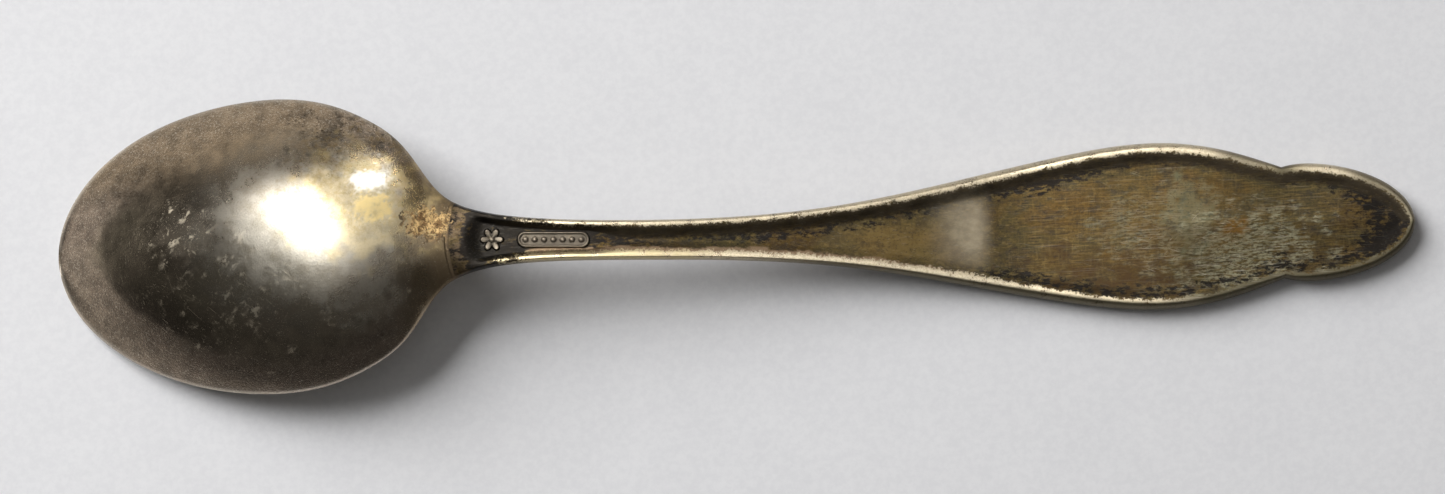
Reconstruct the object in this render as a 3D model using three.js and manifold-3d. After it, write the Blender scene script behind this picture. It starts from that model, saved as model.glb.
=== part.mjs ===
// Souvenir teaspoon in struck sterling silver, lying on its face with its back
// up. Millimetres, +Z up. +X runs from the tip of the bowl to the tip of the
// handle, and the origin is at the middle of the spoon's length and width, at
// the level of the table that the bowl's tip and the handle's face rest on.
//
// Three pieces: the bowl, the handle with its stem, and the film of solder that
// joins them on a slanting seam at the neck. The die-struck ornament (border
// threads, tablet, rosette, leaf veins) is part of the handle.

import * as THREE from 'three';
import { LoftGeometry } from 'three/addons/geometries/LoftGeometry.js';
import { mergeVertices } from 'three/addons/utils/BufferGeometryUtils.js';
import Module from 'manifold-3d';

const wasm = await Module();
wasm.setup();

// ---------------------------------------------------------------- dimensions

// Stations are distances along the spoon from the tip of the bowl.
const LENGTH = 146;
const BOWL_WIDEST_AT = 24;
const BOWL_HALF_WIDTH = 15.75;
const BOWL_DEPTH = 8.1;
const BOWL_RIM = 0.85;
const RIM_FALL = 0.166; // rise of the bowl's rim per millimetre, lying face down

const NECK = [40, 47]; // stations where the bowl's section turns into the stem's
const CHANNEL_START = 44;
const CHANNEL_END_RADIUS = 5;
const PANEL_FROM = 105; // from here the handle lies flat
const PANEL_EDGE = 0.95;
const PANEL_CROWN = 1.35;
const STEM_CHANNEL_DEPTH = 0.45;
const PANEL_DEPTH = 0.38;
const PANEL_WIDENS = [75, 105]; // stations where stem proportions give way to the panel's
const CREST_WIDTH = 0.15;
const CHANNEL_WALL = 0.42;
const STEM_CREST_INSET = 0.5;
const PANEL_CREST_INSET = 0.75;

const WAIST_AT = 131.8;
const WAIST_HALF_WIDTH = 6.0;
const FINIAL_WIDEST_AT = 134.5;
const FINIAL_HALF_WIDTH = 6.35;
const FINIAL_SHOULDER = 8.1; // half length of the ellipse between waist and finial
const FINIAL_POINT = [1.9, 0.625]; // exponents of the finial's pointed end

const SIDE_LAND = 0.15;
const FRONT_ROUND = 0.5;
const BORDER_WIDTH = 1.25;
const BORDER_WALL = 0.4;
const FIELD_DEPTH = 0.4;
const FIELD_FROM = 86;
const CARTOUCHE_AT = 116;
const CARTOUCHE_LENGTH = 19;
const CARTOUCHE_WIDTH = 11;
const RIB_HEIGHT = 0.3; // the raised midrib of the finial's leaf
const RIB_HALF_WIDTH = 0.8;
const RIB_START = 131;
const RIB_END = 143;

const SEAM_AT = 42.2; // where the seam meets the back of the neck
const SEAM_HEIGHT = 8.8;
const SEAM_LEAN = 30; // degrees from upright, leaning towards the handle below
const SOLDER_FILM = 0.3;
const SOLDER_FIT = 0.02;

const TABLET_LENGTH = 7.7;
const TABLET_WIDTH = 1.8;
const TABLET_AT = 53.6;
const TABLET_RISE = 0.3;
const PELLET_COUNT = 7;
const PELLET_RADIUS = 0.3;
const PELLET_RISE = 0.12;

const ROSETTE_AT = 47.1;
const ROSETTE_RADIUS = 1.3;
const ROSETTE_PETALS = 6;
const ROSETTE_RISE = 0.25;
const RELIEF_ROOT = 0.35; // how far relief is carried down into the metal

// -------------------------------------------------------------------- curves

// A natural cubic spline through [station, value] pairs.
function curveThrough(points) {
  const n = points.length;
  const x = points.map((p) => p[0]);
  const y = points.map((p) => p[1]);
  const bend = new Array(n).fill(0);
  const carry = new Array(n).fill(0);
  for (let i = 1; i < n - 1; i++) {
    const share = (x[i] - x[i - 1]) / (x[i + 1] - x[i - 1]);
    const pivot = share * bend[i - 1] + 2;
    const right = (y[i + 1] - y[i]) / (x[i + 1] - x[i]);
    const left = (y[i] - y[i - 1]) / (x[i] - x[i - 1]);
    bend[i] = (share - 1) / pivot;
    carry[i] = ((6 * (right - left)) / (x[i + 1] - x[i - 1]) - share * carry[i - 1]) / pivot;
  }
  bend[n - 1] = 0;
  for (let i = n - 2; i >= 0; i--) bend[i] = bend[i] * bend[i + 1] + carry[i];
  return (at) => {
    let i = 1;
    while (i < n - 1 && at > x[i]) i++;
    const h = x[i] - x[i - 1];
    const a = (x[i] - at) / h;
    const b = (at - x[i - 1]) / h;
    const bow = (a ** 3 - a) * bend[i - 1] + (b ** 3 - b) * bend[i];
    return a * y[i - 1] + b * y[i] + (bow * h * h) / 6;
  };
}

const ease = THREE.MathUtils.smoothstep;
const mix = THREE.MathUtils.lerp;

// Half of the bowl's outline, from its tip to its widest station.
function tipEllipse(s) {
  const t = 1 - s / BOWL_WIDEST_AT;
  return BOWL_HALF_WIDTH * Math.sqrt(Math.max(0, 1 - t * t));
}

const bodyOutline = curveThrough([
  [12, tipEllipse(12)], [18, tipEllipse(18)], [24, 15.75], [30, 14.8], [34.5, 12.65],
  [38.3, 9.3], [41, 5.6], [44.5, 3.45], [50, 2.4], [60, 2.03], [72, 2.2], [85, 3.33],
  [97, 5.55], [110, 8.1], [118, 8.9], [126, 7.85], [WAIST_AT, WAIST_HALF_WIDTH],
]);

// Half the spoon's width at a station.
function halfWidth(s) {
  if (s < BOWL_WIDEST_AT) return tipEllipse(s);
  if (s < WAIST_AT) return bodyOutline(s);
  if (s < FINIAL_WIDEST_AT) {
    const t = (FINIAL_WIDEST_AT - s) / FINIAL_SHOULDER;
    return FINIAL_HALF_WIDTH * Math.sqrt(1 - t * t);
  }
  const t = (s - FINIAL_WIDEST_AT) / (LENGTH - FINIAL_WIDEST_AT);
  return FINIAL_HALF_WIDTH * Math.max(0, 1 - t ** FINIAL_POINT[0]) ** FINIAL_POINT[1];
}

// How much longer the outline's edge is than the station it spans.
function edgeStretch(s) {
  const step = 0.02;
  const a = THREE.MathUtils.clamp(s - step, 0, LENGTH - 2 * step);
  const slope = (halfWidth(a + 2 * step) - halfWidth(a)) / (2 * step);
  return Math.hypot(1, slope);
}

const risingEdge = curveThrough([
  [-12, -12 * RIM_FALL], [0, 0], [12, 12 * RIM_FALL], [24, 24 * RIM_FALL],
  [34, 34 * RIM_FALL], [43, 6.75], [50, 6.85], [60, 6.15], [72, 4.75], [80, 3.75],
  [88, 2.7], [94, 1.92], [98, 1.44], [101, 1.15], [PANEL_FROM, PANEL_EDGE],
  [107, PANEL_EDGE], [109, PANEL_EDGE],
]);

// Level of the spoon's edge: the bowl's rim, then the sides of the handle.
const edgeLevel = (s) => (s < PANEL_FROM ? risingEdge(s) : PANEL_EDGE);

const neckCrown = curveThrough([
  [12, BOWL_DEPTH * 0.75], [18, BOWL_DEPTH * 0.9375], [24, BOWL_DEPTH], [28, 7.85],
  [32, 6.8], [36, 4.85], [39, 3.3], [42, 2.2], [46, 1.55], [52, 1.35], [60, 1.3],
  [72, 1.25], [88, 1.3], [PANEL_FROM, PANEL_CROWN],
]);

// Height of the back above the edge, on the centre line.
function crown(s) {
  if (s > PANEL_FROM) return PANEL_CROWN;
  if (s > BOWL_WIDEST_AT) return neckCrown(s);
  return BOWL_DEPTH * (tipEllipse(s) / BOWL_HALF_WIDTH) ** 2;
}

// Thickness on the centre line, before any recess.
const neckThickness = curveThrough([
  [12, 0.95], [24, 0.95], [32, 1.1], [37, 1.5], [41, 2.0], [45, 2.35],
  [50, 2.3], [60, 2.15], [72, 2.1], [88, 2.2], [PANEL_FROM, PANEL_EDGE + PANEL_CROWN],
]);

const thickness = (s) => neckThickness(THREE.MathUtils.clamp(s, 12, PANEL_FROM));

// 0 in the bowl, 1 where the section is that of the stem and handle.
const stemShare = (s) => ease(s, ...NECK);

// ------------------------------------------------------------------ sections

// Distance in from the spoon's outline, at right angles to it.
function inset(s, y) {
  return Math.max(0, halfWidth(s) - Math.abs(y)) / edgeStretch(s);
}

function crestInset(s) {
  return mix(STEM_CREST_INSET, PANEL_CREST_INSET, ease(s, ...PANEL_WIDENS));
}

// Depth of the struck recess in the back at a point of the handle.
function recess(s, y) {
  const centre = CHANNEL_START + CHANNEL_END_RADIUS;
  const fromStart = s < centre ? CHANNEL_END_RADIUS - Math.hypot(s - centre, y) : Infinity;
  const wallTop = crestInset(s) + CREST_WIDTH;
  const into = Math.min(inset(s, y) - wallTop, fromStart);
  const depth = mix(STEM_CHANNEL_DEPTH, PANEL_DEPTH, ease(s, ...PANEL_WIDENS));
  return depth * ease(into, 0, CHANNEL_WALL);
}

// Level of the back at a point.
function backLevel(s, y) {
  const across = Math.abs(y) / halfWidth(s);
  const dome = crown(s) * (1 - across * across);
  const toCrest = Math.min(1, inset(s, y) / crestInset(s));
  const wall = crown(s) * Math.sqrt(1 - (1 - toCrest) ** 2);
  const share = stemShare(s);
  return edgeLevel(s) + mix(dome, wall, share) + share * SIDE_LAND - recess(s, y);
}

// Half the width of the bowl's hollow at a station.
function hollowHalfWidth(s) {
  const w = halfWidth(s);
  return Math.max(w - BOWL_RIM * edgeStretch(s), 0.3 * w);
}

// Level of the roof of the bowl's hollow, or of its rim outside the hollow.
function hollowLevel(s, y) {
  const w = hollowHalfWidth(s);
  const full = BOWL_HALF_WIDTH - BOWL_RIM;
  const open = halfWidth(s) - BOWL_RIM * edgeStretch(s);
  let rise = crown(s) - thickness(s);
  if (s < BOWL_WIDEST_AT) rise = (BOWL_DEPTH - thickness(s)) * (Math.max(0, open) / full) ** 2;
  return edgeLevel(s) + rise * Math.max(0, 1 - (y / w) ** 2);
}

// Depth of the field struck in the face inside its border, with the finial's rib.
function faceRelief(s, y) {
  const field = FIELD_DEPTH * ease(inset(s, y), BORDER_WIDTH, BORDER_WIDTH + BORDER_WALL);
  const along = ease(s, RIB_START, RIB_START + 2) * (1 - ease(s, RIB_END - 3, RIB_END));
  const rib = RIB_HEIGHT * (1 - ease(Math.abs(y), 0, RIB_HALF_WIDTH)) * along;
  return Math.max(0, field - rib) * ease(s, FIELD_FROM, FIELD_FROM + 10);
}

// Level of the face of the stem and handle, which lies downwards.
function faceLevel(s, y) {
  const below = thickness(s) - crown(s);
  const toFlat = Math.min(1, inset(s, y) / FRONT_ROUND);
  const round = Math.sqrt(1 - (1 - toFlat) ** 2);
  return edgeLevel(s) - mix(SIDE_LAND, below, round) + faceRelief(s, y);
}

// Level of the underside anywhere, bowl and handle blended at the neck.
function underLevel(s, y) {
  return mix(hollowLevel(s, y), faceLevel(s, y), stemShare(s));
}

// Facets across the sections.
const BACK_FACETS = 18;
const HOLLOW_FACETS = 14;
const FLOOR_FACETS = 6;

const toX = (s) => s - LENGTH / 2;

// Points from side to side at cosine spacing.
function acrossEvenly(reach, count) {
  const list = [];
  for (let i = 0; i <= count; i++) list.push(-reach * Math.cos((Math.PI * i) / count));
  return list;
}

// Points from side to side that follow the border's crest and walls.
function acrossBorder(s, insets, floorCount) {
  const w = halfWidth(s);
  const squeeze = Math.min(1, (0.8 * w) / (insets.at(-1) * edgeStretch(s)));
  const side = insets.map((u) => w - u * edgeStretch(s) * squeeze);
  const inner = side.at(-1);
  const floor = [];
  for (let i = 1; i < floorCount; i++) floor.push(-inner + (2 * inner * i) / floorCount);
  return [...side.map((y) => -y), ...floor, ...side.slice().reverse()];
}

// A row of points on one of the spoon's surfaces.
function row(s, list, level) {
  return list.map((y) => new THREE.Vector3(toX(s), y, level(s, y)));
}

function bowlSection(s) {
  const reach = mix(hollowHalfWidth(s), halfWidth(s), stemShare(s));
  const back = acrossEvenly(halfWidth(s), BACK_FACETS);
  const under = acrossEvenly(reach, HOLLOW_FACETS).reverse();
  return [...row(s, back, backLevel), ...row(s, under, underLevel)];
}

function handleSection(s) {
  const crest = crestInset(s);
  const wall = crest + CREST_WIDTH;
  const field = BORDER_WIDTH + BORDER_WALL;
  const backInsets = [0, 0.12 * crest, 0.45 * crest, crest, wall, wall + CHANNEL_WALL];
  const faceInsets = [0, 0.2 * FRONT_ROUND, FRONT_ROUND, BORDER_WIDTH, field];
  const back = acrossBorder(s, backInsets, FLOOR_FACETS);
  const face = acrossBorder(s, faceInsets, FLOOR_FACETS).reverse();
  return [...row(s, back, backLevel), ...row(s, face, underLevel)];
}

// Stations spread evenly from one to another.
function evenStations(from, to, count) {
  const list = [];
  for (let i = 0; i <= count; i++) list.push(mix(from, to, i / count));
  return list;
}

// Stations from a tip inwards, close together where the tip is round.
function tipStations(tip, to, count) {
  const list = [];
  for (let i = 1; i <= count; i++) list.push(mix(tip, to, 1 - Math.cos((Math.PI * i) / (2 * count))));
  return list;
}

// -------------------------------------------------------------------- solids

// A closed manifold solid; triangles that have collapsed to a line are left out.
function toSolid(geometry) {
  const bare = new THREE.BufferGeometry();
  bare.setAttribute('position', geometry.attributes.position);
  bare.setIndex(geometry.index);
  const merged = mergeVertices(bare, 1e-4);
  const vertProperties = new Float32Array(merged.attributes.position.array);
  const index = merged.index.array;
  const triVerts = [];
  for (let i = 0; i < index.length; i += 3) {
    const [a, b, c] = index.slice(i, i + 3);
    if (a !== b && b !== c && c !== a) triVerts.push(a, b, c);
  }
  return new wasm.Manifold(
    new wasm.Mesh({ numProp: 3, vertProperties, triVerts: new Uint32Array(triVerts) }),
  );
}

function toGeometry(solid) {
  const mesh = solid.getMesh();
  const geometry = new THREE.BufferGeometry();
  geometry.setAttribute('position', new THREE.BufferAttribute(mesh.vertProperties, 3));
  geometry.setIndex(new THREE.BufferAttribute(mesh.triVerts, 1));
  geometry.computeVertexNormals();
  return geometry;
}

// A loft that closes to a point at each end.
function loft(section, stationList, startPoint, endPoint) {
  const sections = stationList.map((s) => section(s).reverse());
  const closeTo = (point) => sections[0].map(() => point.clone());
  return toSolid(new LoftGeometry([closeTo(startPoint), ...sections, closeTo(endPoint)]));
}

// A point on the centre line, level with the spoon's edge.
const onEdge = (s) => new THREE.Vector3(toX(s), 0, edgeLevel(s));

// A slab of space beside the seam, from one distance to another along its normal.
function seamSlab(from, to) {
  const size = 400;
  const slab = new THREE.BoxGeometry(to - from, size, size);
  slab.translate((from + to) / 2, 0, 0);
  slab.rotateY(THREE.MathUtils.degToRad(-SEAM_LEAN));
  slab.translate(toX(SEAM_AT), 0, SEAM_HEIGHT);
  return toSolid(slab);
}

// Place a flat relief, drawn in the XY plane, on the floor of the channel.
function layOnBack(geometry, s) {
  const reach = 1.5;
  const rise = backLevel(s + reach, 0) - backLevel(s - reach, 0);
  geometry.translate(0, 0, -RELIEF_ROOT);
  geometry.rotateY(-Math.atan2(rise, 2 * reach));
  geometry.translate(toX(s), 0, backLevel(s, 0));
  return toSolid(geometry);
}

function pill(length, width) {
  const r = width / 2;
  const half = length / 2 - r;
  const shape = new THREE.Shape();
  shape.moveTo(-half, -r);
  shape.lineTo(half, -r);
  shape.absarc(half, 0, r, -Math.PI / 2, Math.PI / 2);
  shape.lineTo(-half, r);
  shape.absarc(-half, 0, r, Math.PI / 2, (3 * Math.PI) / 2);
  return shape;
}

function struck(shape, height) {
  const options = { depth: RELIEF_ROOT + height, bevelEnabled: false, curveSegments: 6 };
  return new THREE.ExtrudeGeometry(shape, options);
}

// The raised tablet on the stem, with a plain row of pellets.
function tablet() {
  let solid = layOnBack(struck(pill(TABLET_LENGTH, TABLET_WIDTH), TABLET_RISE), TABLET_AT);
  const pitch = (TABLET_LENGTH - TABLET_WIDTH) / (PELLET_COUNT - 1);
  for (let i = 0; i < PELLET_COUNT; i++) {
    const at = TABLET_AT + (i - (PELLET_COUNT - 1) / 2) * pitch;
    const height = RELIEF_ROOT + TABLET_RISE + PELLET_RISE;
    const pellet = new THREE.CylinderGeometry(0.7 * PELLET_RADIUS, PELLET_RADIUS, height, 8);
    pellet.rotateX(Math.PI / 2);
    pellet.translate(0, 0, height / 2);
    solid = solid.add(layOnBack(pellet, at));
  }
  return solid;
}

// A small six-petalled rosette at the root of the channel.
function rosette() {
  const shape = new THREE.Shape();
  const steps = ROSETTE_PETALS * 6;
  for (let i = 0; i < steps; i++) {
    const angle = (2 * Math.PI * i) / steps;
    const r = ROSETTE_RADIUS * (0.62 + 0.38 * Math.abs(Math.cos((ROSETTE_PETALS * angle) / 2)));
    const point = [r * Math.cos(angle), r * Math.sin(angle)];
    if (i === 0) shape.moveTo(...point);
    else shape.lineTo(...point);
  }
  return layOnBack(struck(shape, ROSETTE_RISE), ROSETTE_AT);
}

// The plain oval cartouche on the face, the highest part of it.
function cartouche() {
  const shape = new THREE.Shape();
  shape.absellipse(0, 0, CARTOUCHE_LENGTH / 2, CARTOUCHE_WIDTH / 2, 0, 2 * Math.PI);
  const options = { depth: FIELD_DEPTH + RELIEF_ROOT, bevelEnabled: false, curveSegments: 36 };
  const plate = new THREE.ExtrudeGeometry(shape, options);
  plate.translate(toX(CARTOUCHE_AT), 0, 0);
  return toSolid(plate);
}

// --------------------------------------------------------------------- parts

function part(name, solid, color, roughness) {
  const material = new THREE.MeshStandardMaterial({ color, roughness, metalness: 1 });
  const mesh = new THREE.Mesh(toGeometry(solid), material);
  mesh.name = name;
  return mesh;
}

const LOFT_NECK = [41.4, 47]; // the lofts run past the seam, which trims them
const LOFT_END = 0.5;
const REACH = 200;

function bowl() {
  const front = tipStations(0, BOWL_WIDEST_AT, 16);
  const rear = evenStations(BOWL_WIDEST_AT, LOFT_NECK[1], 16).slice(1);
  const whole = loft(bowlSection, [...front, ...rear], onEdge(0), onEdge(LOFT_NECK[1] + LOFT_END));
  return part('bowl', whole.intersect(seamSlab(-REACH, 0)), 0x9a8f78, 0.38);
}

function neckSolder() {
  const ends = [onEdge(LOFT_NECK[0] - LOFT_END), onEdge(LOFT_NECK[1] + LOFT_END)];
  const whole = loft(handleSection, evenStations(...LOFT_NECK, 10), ...ends);
  const film = seamSlab(SOLDER_FIT, SOLDER_FIT + SOLDER_FILM);
  return part('neck_solder', whole.intersect(film), 0x9c6f48, 0.5);
}

function handle() {
  const neck = evenStations(...LOFT_NECK, 10);
  const shaft = evenStations(LOFT_NECK[1], WAIST_AT, 46).slice(1);
  const finial = tipStations(LENGTH, WAIST_AT, 16).reverse().slice(1);
  const ends = [onEdge(LOFT_NECK[0] - LOFT_END), onEdge(LENGTH)];
  const whole = loft(handleSection, [...neck, ...shaft, ...finial], ...ends);
  const cut = whole.intersect(seamSlab(2 * SOLDER_FIT + SOLDER_FILM, REACH));
  const struckUp = cut.add(tablet()).add(rosette()).add(cartouche());
  return part('handle', struckUp, 0x8a7a58, 0.42);
}

const spoon = new THREE.Group();
spoon.add(bowl(), neckSolder(), handle());

export default spoon;
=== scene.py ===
"""Looks of the souvenir teaspoon: fine struck-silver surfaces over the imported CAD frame.

Lengths in this file are millimetres until a mesh is made, which turns them into metres.
Stations are distances along the spoon from the tip of the bowl.
"""

import math

import bpy
import numpy as np
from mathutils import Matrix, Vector


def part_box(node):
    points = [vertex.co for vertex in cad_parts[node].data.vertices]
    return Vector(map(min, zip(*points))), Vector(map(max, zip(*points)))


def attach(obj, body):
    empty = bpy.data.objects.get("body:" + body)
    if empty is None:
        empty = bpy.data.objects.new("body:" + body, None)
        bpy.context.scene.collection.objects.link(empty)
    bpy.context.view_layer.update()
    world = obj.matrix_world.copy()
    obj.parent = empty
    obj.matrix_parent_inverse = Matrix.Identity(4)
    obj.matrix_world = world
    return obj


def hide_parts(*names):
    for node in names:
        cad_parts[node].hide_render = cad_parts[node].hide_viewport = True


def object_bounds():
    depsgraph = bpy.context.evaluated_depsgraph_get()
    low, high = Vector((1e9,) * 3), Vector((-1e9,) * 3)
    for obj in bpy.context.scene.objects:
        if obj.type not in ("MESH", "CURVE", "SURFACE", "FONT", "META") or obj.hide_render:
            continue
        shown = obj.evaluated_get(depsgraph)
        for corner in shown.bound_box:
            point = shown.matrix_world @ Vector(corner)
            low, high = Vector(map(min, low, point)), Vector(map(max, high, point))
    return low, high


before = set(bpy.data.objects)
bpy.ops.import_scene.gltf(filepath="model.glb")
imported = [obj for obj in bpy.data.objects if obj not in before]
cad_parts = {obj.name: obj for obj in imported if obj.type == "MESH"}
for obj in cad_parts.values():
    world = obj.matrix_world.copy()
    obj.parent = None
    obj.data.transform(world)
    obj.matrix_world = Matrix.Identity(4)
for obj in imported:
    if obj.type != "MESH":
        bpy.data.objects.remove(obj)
cad_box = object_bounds()

MM = 0.001
LOW, HIGH = [np.array(corner) / MM for corner in cad_box]
LENGTH = HIGH[0] - LOW[0]
BOWL_HALF_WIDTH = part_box("bowl")[1][1] / MM

# ------------------------------------------------------------------ dimensions

BOWL_WIDEST_AT = 24
BOWL_DEPTH = 8.1
BOWL_RIM = 0.85
TIP_POWER = 0.515
RIM_ROUND = 0.3
RIM_FALL = 0.166

NECK = (40, 47)
CHANNEL_START = 44
CHANNEL_END_RADIUS = 5
PANEL_FROM = 105
PANEL_EDGE = 0.95
PANEL_CROWN = 1.35
STEM_CHANNEL_DEPTH = 0.45
PANEL_DEPTH = 0.38
PANEL_WIDENS = (75, 105)
CREST_WIDTH = 0.2
CHANNEL_WALL = (0.7, 1.6)
START_WALL = 2.0
WALL_WIDENS = (57, 62)
STEM_CREST_INSET = 0.34
PANEL_CREST_INSET = 0.7

WAIST_AT = 131.8
WAIST_HALF_WIDTH = 6.0
FINIAL_WIDEST_AT = 134.5
FINIAL_HALF_WIDTH = 6.35
FINIAL_SHOULDER = 8.1
FINIAL_POINT = (1.85, 0.5)

FRONT_ROUND = 0.5
BORDER_WIDTH = 1.25
BORDER_WALL = 0.4
FIELD_DEPTH = 0.4
FIELD_FROM = 86
CARTOUCHE_AT = 116
CARTOUCHE_LENGTH = 19
CARTOUCHE_WIDTH = 11

SEAM_AT = 42.2
SEAM_HEIGHT = 8.8
SEAM_LEAN = math.radians(30)
SEAM_ROUNDS = 14
SEAM_PROUD = 0.02
SEAM_OVERLAP = 0.02
SEAM_RINGS = 7
SOLDER_FILM = 0.3
SKIN_STATIONS = (37.2, 43.6)
SKIN_STEP = 0.05
SKIN_ACROSS = (-0.25, 0.93)
SKIN_COLUMNS = 112
SKIN_RISE = 0.032
SKIN_SUNK = 0.012

TABLET_AT = 53.6
TABLET_LENGTH = 7.7
TABLET_WIDTH = 1.8
TABLET_RISE = 0.3
PELLET_COUNT = 7
PELLET_RADIUS = 0.3
ROSETTE_AT = 47.1
ROSETTE_RADIUS = 1.3
ROSETTE_PETALS = 6

# ------------------------------------------------------------- mesh fineness

BOWL_COLUMNS = 171
BOWL_TIP_ROWS = 110
BOWL_ROW_STEP = 0.2
BOWL_ROWS_END = 36.2
BOWL_SEAM_ROWS = 34
HANDLE_COLUMNS = 96
HANDLE_SEAM_ROWS = 100
HANDLE_ROWS_FROM = 49
MARKS_END = 58.5
MARKS_ROW_STEP = 0.065
SHAFT_ROW_STEP = 0.42
FINIAL_ROWS = 70
BACK_ZONES = (1.9, 0.5)
FACE_ZONES = (2.1, 0.5)
SHARP_ANGLE = math.radians(62)


# ---------------------------------------------------------------------- curves


def curve_through(points):
    """A natural cubic spline through (station, value) pairs, as a function of arrays."""
    x, y = np.array(points, float).T
    n = len(x)
    h = np.diff(x)
    grid = np.eye(n)
    right = np.zeros(n)
    for i in range(1, n - 1):
        grid[i, i - 1 : i + 2] = h[i - 1], 2 * (h[i - 1] + h[i]), h[i]
        right[i] = 6 * ((y[i + 1] - y[i]) / h[i] - (y[i] - y[i - 1]) / h[i - 1])
    bend = np.linalg.solve(grid, right)

    def value(at):
        i = np.clip(np.searchsorted(x, at), 1, n - 1)
        a = (x[i] - at) / h[i - 1]
        b = 1 - a
        bow = (a**3 - a) * bend[i - 1] + (b**3 - b) * bend[i]
        return a * y[i - 1] + b * y[i] + bow * h[i - 1] ** 2 / 6

    return value


def ease(value, start, end):
    """0 before start, 1 after end, and a smooth rise between them."""
    t = np.clip((value - start) / (end - start), 0, 1)
    return t * t * (3 - 2 * t)


def mix(a, b, share):
    return a + (b - a) * share


def tip_ellipse(s):
    """Half the bowl's width, from its tip to its widest station."""
    t = 1 - np.minimum(s, BOWL_WIDEST_AT) / BOWL_WIDEST_AT
    return BOWL_HALF_WIDTH * np.maximum(0, 1 - t * t) ** TIP_POWER


body_outline = curve_through(
    [(12, tip_ellipse(12)), (18, tip_ellipse(18)), (24, 15.75), (30, 14.85), (34.5, 12.85)]
    + [(38.3, 9.6), (41, 5.8), (44.5, 3.5), (50, 2.48), (60, 2.13), (72, 2.3), (85, 3.42)]
    + [(97, 5.62), (110, 8.18), (118, 8.97), (126, 7.92), (WAIST_AT, WAIST_HALF_WIDTH)]
)


def finial_outline(s):
    """Half the finial's width: a round shoulder, then a pointed arch."""
    shoulder = np.clip((FINIAL_WIDEST_AT - s) / FINIAL_SHOULDER, 0, 1)
    point = np.clip((s - FINIAL_WIDEST_AT) / (LENGTH - FINIAL_WIDEST_AT), 0, 1)
    ogive = (1 - point ** FINIAL_POINT[0]) ** FINIAL_POINT[1]
    return FINIAL_HALF_WIDTH * np.sqrt(1 - shoulder**2) * ogive


def half_width(s):
    """Half the spoon's width at a station."""
    body = np.where(s < BOWL_WIDEST_AT, tip_ellipse(s), body_outline(np.clip(s, 12, WAIST_AT)))
    return np.where(s < WAIST_AT, body, finial_outline(s))


def edge_stretch(s):
    """How much longer the outline's edge is than the station it spans."""
    step = 0.02
    a = np.clip(s - step, 0, LENGTH - 2 * step)
    return np.hypot(1, (half_width(a + 2 * step) - half_width(a)) / (2 * step))


rising_edge = curve_through(
    [(-12, -12 * RIM_FALL), (0, 0), (12, 12 * RIM_FALL), (24, 24 * RIM_FALL)]
    + [(34, 34 * RIM_FALL), (43, 6.75), (50, 6.85), (60, 6.15), (72, 4.75), (80, 3.75)]
    + [(88, 2.7), (94, 1.92), (98, 1.44), (101, 1.15), (PANEL_FROM, PANEL_EDGE)]
    + [(107, PANEL_EDGE), (109, PANEL_EDGE)]
)

neck_crown = curve_through(
    [(12, BOWL_DEPTH * 0.75), (18, BOWL_DEPTH * 0.9375), (24, BOWL_DEPTH), (28, 7.85)]
    + [(32, 6.8), (36, 4.85), (39, 3.3), (42, 2.2), (46, 1.55), (52, 1.35), (60, 1.3)]
    + [(72, 1.25), (88, 1.3), (PANEL_FROM, PANEL_CROWN)]
)

neck_thickness = curve_through(
    [(12, 0.95), (24, 0.95), (32, 1.1), (37, 1.5), (41, 2.0), (45, 2.35), (50, 2.3)]
    + [(60, 2.15), (72, 2.1), (88, 2.2), (PANEL_FROM, PANEL_EDGE + PANEL_CROWN)]
)


def edge_level(s):
    """Level of the spoon's edge: the bowl's rim, then the sides of the handle."""
    return np.where(s < PANEL_FROM, rising_edge(np.minimum(s, PANEL_FROM)), PANEL_EDGE)


def crown(s):
    """Height of the back above the edge, on the centre line."""
    tip = BOWL_DEPTH * (tip_ellipse(s) / BOWL_HALF_WIDTH) ** 2
    rest = neck_crown(np.clip(s, 12, PANEL_FROM))
    return np.where(s < BOWL_WIDEST_AT, tip, rest)


def thickness(s):
    """Thickness on the centre line, before any recess."""
    return neck_thickness(np.clip(s, 12, PANEL_FROM))


# ----------------------------------------------------------------------- noise


LAYER_TURN = math.radians(37)


def lattice(cell, seed):
    """A repeatable value from -1 to 1 for each whole-numbered cell."""
    prime = np.array([374761393, 668265263, 2246822519], np.uint64)
    key = (cell.astype(np.int64).astype(np.uint64) * prime).sum(-1)
    key = (key + np.uint64(seed * 3266489917)) & np.uint64(0xFFFFFFFF)
    key = ((key ^ (key >> np.uint64(13))) * np.uint64(1274126177)) & np.uint64(0xFFFFFFFF)
    key ^= key >> np.uint64(16)
    return key / 2**31 - 1


def noise(points, size, seed):
    """Smooth noise from -1 to 1 whose features are about size across."""
    q = points / np.array(size) + 1000.0
    cell = np.floor(q)
    f = q - cell
    f = f * f * (3 - 2 * f)
    total = 0
    for corner in np.ndindex(2, 2, 2):
        weight = np.prod(np.where(corner, f, 1 - f), axis=-1)
        total = total + weight * lattice(cell + corner, seed)
    return total


def layered(points, size, seed, layers=3):
    """Noise with finer noise added to it, each layer turned so that no grid shows."""
    total = 0
    for k in range(layers):
        c, d = math.cos(LAYER_TURN * (k + 1)), math.sin(LAYER_TURN * (k + 1))
        turned = points @ np.array([[c, -d, 0], [d, c, 0], [0, 0, 1]])
        total = total + noise(turned, size / 2**k, seed + k) / 1.6**k
    return total / 1.6


# -------------------------------------------------------------------- surfaces


def inset(s, y):
    """Distance in from the spoon's outline, at right angles to it."""
    return np.maximum(0, half_width(s) - np.abs(y)) / edge_stretch(s)


def quarter_round(distance, radius):
    """Rise of a rounded edge, from 0 at the edge to 1 a radius in."""
    return np.sqrt(1 - (1 - np.clip(distance / radius, 0, 1)) ** 2)


def stem_share(s):
    """0 in the bowl, 1 where the section is that of the stem and handle."""
    return ease(s, *NECK)


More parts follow.
